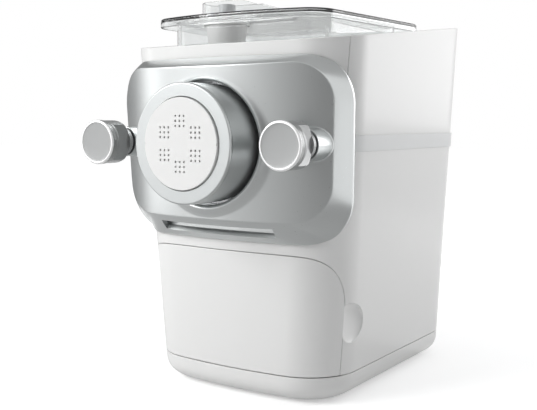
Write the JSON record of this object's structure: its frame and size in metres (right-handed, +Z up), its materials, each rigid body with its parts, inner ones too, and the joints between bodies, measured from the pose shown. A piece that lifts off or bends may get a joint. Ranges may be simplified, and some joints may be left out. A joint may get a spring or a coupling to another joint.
{
  "type": "electric pasta maker",
  "caption": "Countertop electric pasta maker with a front extrusion head, screw-down front panel, clear mixing chamber and lid, storage drawer and sloping control console.",
  "frame": {"origin": "centre of the box seen from above, on the surface the feet stand on", "axes": "+Z up, -Y towards the extrusion head at the front, +X to the right of a viewer in front"},
  "size_m": [0.2286, 0.3144, 0.3303],
  "materials": {
    "white_plastic": "smooth satin white",
    "pale_plastic": "smooth pale grey",
    "silver_paint": "satin metallic silver",
    "ring_silver": "fine satin silver",
    "knob_grey": "satin mid grey",
    "clear_plastic": "clear polished",
    "funnel_grey": "smooth grey",
    "dark_plastic": "fine matte dark grey",
    "rubber": "matte",
    "steel": "turned",
    "copper": "wound and varnished",
    "gear_plastic": "natural",
    "board_green": "lacquered board"
  },
  "bodies": {
    "root": {"main_housing": "white_plastic", "base_skirt": "white_plastic", "foot_front_left": "rubber", "foot_front_right": "rubber", "foot_rear_left": "rubber", "foot_rear_right": "rubber", "rear_cover": "white_plastic", "power_inlet": "dark_plastic", "side_band_left": "pale_plastic", "side_band_right": "pale_plastic", "bulkhead": "pale_plastic", "drawer_bay": "pale_plastic", "clamp_bracket_left": "steel", "clamp_bracket_right": "steel", "gearbox_housing": "dark_plastic", "gearbox_cover": "dark_plastic", "front_bearing": "steel", "rear_bearing": "steel", "intermediate_axle": "steel", "motor_housing": "steel", "motor_stator": "copper", "power_board": "board_green", "top_deck": "white_plastic", "safety_switch": "dark_plastic", "control_panel": "pale_plastic", "display_window": "dark_plastic", "display_board": "board_green"},
    "chamber_unit": {"front_cover": "white_plastic", "mixing_chamber": "clear_plastic", "shaft_seal": "rubber"},
    "lid": {"lid": "clear_plastic", "inlet_funnel": "funnel_grey", "pouring_cup": "white_plastic"},
    "front_panel": {"front_panel": "silver_paint", "extrusion_tube": "steel", "tube_gasket": "rubber"},
    "shaping_disc": {"shaping_disc": "white_plastic"},
    "cap_ring": {"cap_ring": "ring_silver"},
    "left_washer": {"left_knob_washer": "dark_plastic"},
    "left_knob": {"left_knob": "knob_grey", "left_knob_bolt": "steel"},
    "right_washer": {"right_knob_washer": "dark_plastic"},
    "right_knob": {"right_knob": "knob_grey", "right_knob_bolt": "steel"},
    "drawer": {"drawer_front": "white_plastic", "drawer_tray": "pale_plastic"},
    "mixer": {"mixing_paddle": "pale_plastic", "extruder_screw": "pale_plastic"},
    "output": {"output_shaft": "steel", "output_gear": "gear_plastic"},
    "intermediate": {"intermediate_gear": "gear_plastic"},
    "rotor": {"motor_rotor": "steel", "motor_pinion": "steel", "cooling_fan": "dark_plastic"},
    "power_button": {"power_button": "white_plastic"},
    "program_button": {"program_button": "white_plastic"},
    "weigh_button": {"weigh_button": "white_plastic"},
    "time_button": {"time_button": "white_plastic"},
    "start_button": {"start_button": "white_plastic"}
  },
  "joints": [
    {"name": "chamber_slide", "type": "slide", "parent": "root", "child": "chamber_unit", "axis": [0, -1, 0], "range_m": [0, 0.18]},
    {"name": "lid_lift", "type": "slide", "parent": "chamber_unit", "child": "lid", "axis": [0, 0, 1], "range_m": [0, 0.12]},
    {"name": "panel_pull", "type": "slide", "parent": "chamber_unit", "child": "front_panel", "axis": [0, -1, 0], "range_m": [0, 0.1]},
    {"name": "disc_pull", "type": "slide", "parent": "front_panel", "child": "shaping_disc", "axis": [0, -1, 0], "range_m": [0, 0.05]},
    {"name": "ring_turn", "type": "hinge", "parent": "shaping_disc", "child": "cap_ring", "pos_m": [0, -0.15535, 0.212], "axis": [0, -1, 0], "range_deg": [0, 270]},
    {"name": "left_knob_draw", "type": "slide", "parent": "front_panel", "child": "left_washer", "axis": [0, -1, 0], "range_m": [0, 0.006]},
    {"name": "left_knob_turn", "type": "hinge", "parent": "left_washer", "child": "left_knob", "pos_m": [-0.0895, -0.15535, 0.212], "axis": [0, -1, 0], "range_deg": [0, 720.1]},
    {"name": "right_knob_draw", "type": "slide", "parent": "front_panel", "child": "right_washer", "axis": [0, -1, 0], "range_m": [0, 0.006]},
    {"name": "right_knob_turn", "type": "hinge", "parent": "right_washer", "child": "right_knob", "pos_m": [0.0895, -0.15535, 0.212], "axis": [0, -1, 0], "range_deg": [0, 720.1]},
    {"name": "drawer_pull", "type": "slide", "parent": "root", "child": "drawer", "axis": [0, -1, 0], "range_m": [0, 0.12]},
    {"name": "mixer_spin", "type": "hinge", "parent": "chamber_unit", "child": "mixer", "pos_m": [0, -0.00535, 0.212], "axis": [0, 1, 0], "continuous": true},
    {"name": "output_spin", "type": "hinge", "parent": "root", "child": "output", "pos_m": [0, 0.09465, 0.212], "axis": [0, 1, 0], "continuous": true},
    {"name": "intermediate_spin", "type": "hinge", "parent": "root", "child": "intermediate", "pos_m": [0, 0.08965, 0.152], "axis": [0, 1, 0], "continuous": true},
    {"name": "rotor_spin", "type": "hinge", "parent": "root", "child": "rotor", "pos_m": [0, 0.08965, 0.092], "axis": [0, 1, 0], "continuous": true},
    {"name": "power_press", "type": "slide", "parent": "root", "child": "power_button", "axis": [0, 0.1137, -0.9935], "range_m": [0, 0.0012], "stiffness_N_per_m": 300},
    {"name": "program_press", "type": "slide", "parent": "root", "child": "program_button", "axis": [0, 0.1137, -0.9935], "range_m": [0, 0.0012], "stiffness_N_per_m": 300},
    {"name": "weigh_press", "type": "slide", "parent": "root", "child": "weigh_button", "axis": [0, 0.1137, -0.9935], "range_m": [0, 0.0012], "stiffness_N_per_m": 300},
    {"name": "time_press", "type": "slide", "parent": "root", "child": "time_button", "axis": [0, 0.1137, -0.9935], "range_m": [0, 0.0012], "stiffness_N_per_m": 300},
    {"name": "start_press", "type": "slide", "parent": "root", "child": "start_button", "axis": [0, 0.1137, -0.9935], "range_m": [0, 0.0012], "stiffness_N_per_m": 300}
  ],
  "couplings": [
    {"joint": "left_knob_turn", "follows": "left_knob_draw", "rad_per_m": 2094.4},
    {"joint": "right_knob_turn", "follows": "right_knob_draw", "rad_per_m": 2094.4},
    {"joint": "output_spin", "follows": "mixer_spin", "ratio": 1},
    {"joint": "intermediate_spin", "follows": "mixer_spin", "ratio": -3},
    {"joint": "rotor_spin", "follows": "mixer_spin", "ratio": 11.4}
  ]
}
